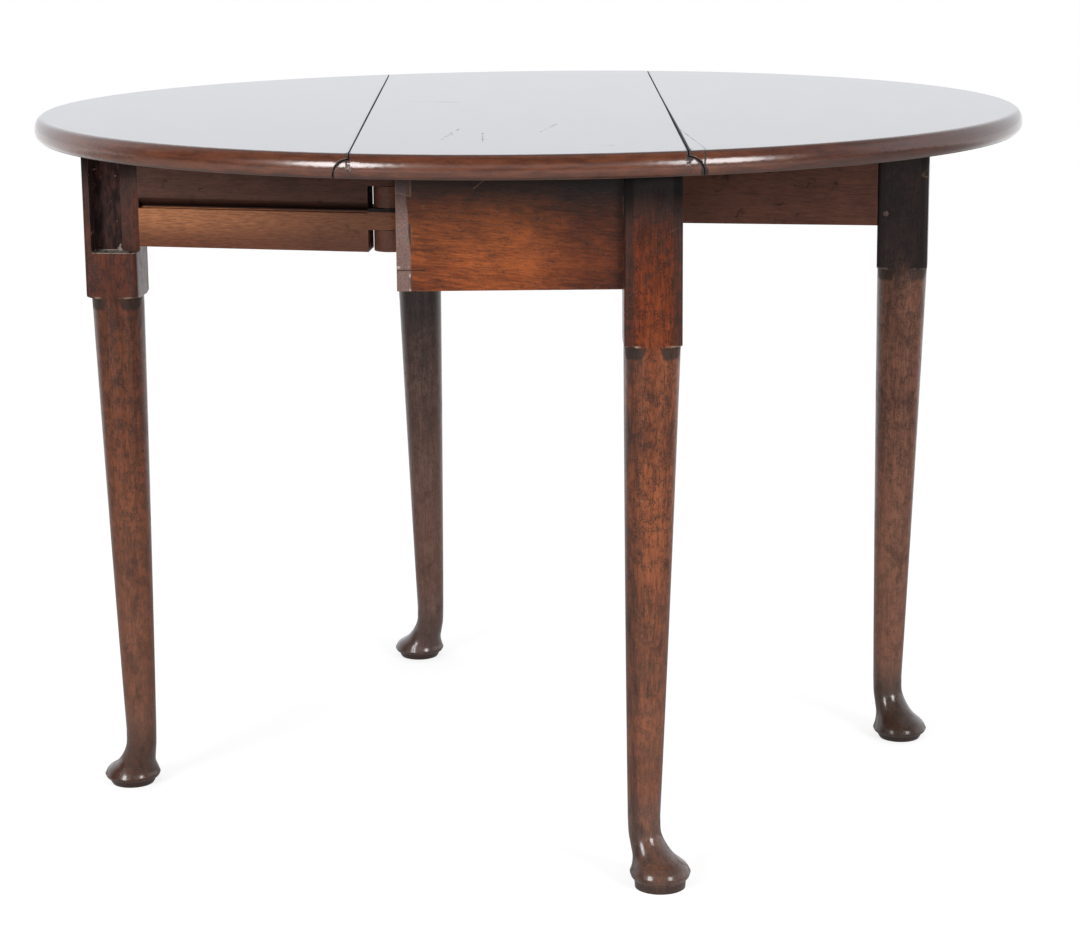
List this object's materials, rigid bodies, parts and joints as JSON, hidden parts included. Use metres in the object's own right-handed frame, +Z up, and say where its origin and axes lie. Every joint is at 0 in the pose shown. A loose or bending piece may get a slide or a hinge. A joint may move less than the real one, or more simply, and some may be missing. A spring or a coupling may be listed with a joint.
{
  "type": "drop-leaf swing-leg table",
  "caption": "Oval drop-leaf table on round tapering pad-foot legs; gate legs swing out on wooden knuckles to carry hinged leaves.",
  "frame": {"origin": "on the floor below the middle of the top's outline", "axes": "+Z up from the floor, +X across the leaves, +Y along the rule joints"},
  "size_m": [1.026, 0.893, 0.715],
  "materials": {
    "top_mahogany": "old wax polish, glossy",
    "leg_mahogany": "worn polish",
    "rail_hardwood": "dull, stained dark",
    "inner_softwood": "bare, aged",
    "peg_hardwood": "dull",
    "hinge_iron": "wrought, dark",
    "screw_iron": "dull"
  },
  "bodies": {
    "frame": {"centre_board": "top_mahogany", "front_right_leg": "leg_mahogany", "back_left_leg": "leg_mahogany", "front_frieze": "leg_mahogany", "back_frieze": "leg_mahogany", "left_fixed_rail": "rail_hardwood", "right_fixed_rail": "rail_hardwood", "left_inner_rail": "inner_softwood", "right_inner_rail": "inner_softwood", "glue_blocks": "inner_softwood", "left_fixed_pegs": "peg_hardwood", "right_fixed_pegs": "peg_hardwood", "left_gate_pin": "hinge_iron", "right_gate_pin": "hinge_iron", "left_board_flaps": "hinge_iron", "left_hinge_pins": "hinge_iron", "right_board_flaps": "hinge_iron", "right_hinge_pins": "hinge_iron", "top_screws": "screw_iron", "rail_screws": "screw_iron", "left_board_flap_screws": "screw_iron", "right_board_flap_screws": "screw_iron"},
    "left_leaf": {"left_leaf": "top_mahogany", "left_leaf_flaps": "hinge_iron", "left_leaf_flap_screws": "screw_iron"},
    "right_leaf": {"right_leaf": "top_mahogany", "right_leaf_flaps": "hinge_iron", "right_leaf_flap_screws": "screw_iron"},
    "left_gate": {"left_gate_rail": "rail_hardwood", "left_gate_leg": "leg_mahogany", "left_gate_pegs": "peg_hardwood"},
    "right_gate": {"right_gate_rail": "rail_hardwood", "right_gate_leg": "leg_mahogany", "right_gate_pegs": "peg_hardwood"}
  },
  "joints": [
    {"name": "left_gate_swing", "type": "hinge", "parent": "frame", "child": "left_gate", "pos_m": [-0.1415, -0.101, 0.64], "axis": [0, 0, 1], "range_deg": [-3.5, 96]},
    {"name": "right_gate_swing", "type": "hinge", "parent": "frame", "child": "right_gate", "pos_m": [0.1205, 0.101, 0.64], "axis": [0, 0, 1], "range_deg": [-0.5, 99]},
    {"name": "left_leaf_lift", "type": "hinge", "parent": "frame", "child": "left_leaf", "pos_m": [-0.1635, 0, 0.6945], "axis": [0, 1, 0], "range_deg": [0, 2.5]},
    {"name": "right_leaf_lift", "type": "hinge", "parent": "frame", "child": "right_leaf", "pos_m": [0.1425, 0, 0.6945], "axis": [0, -1, 0], "range_deg": [0, 2.5]}
  ]
}
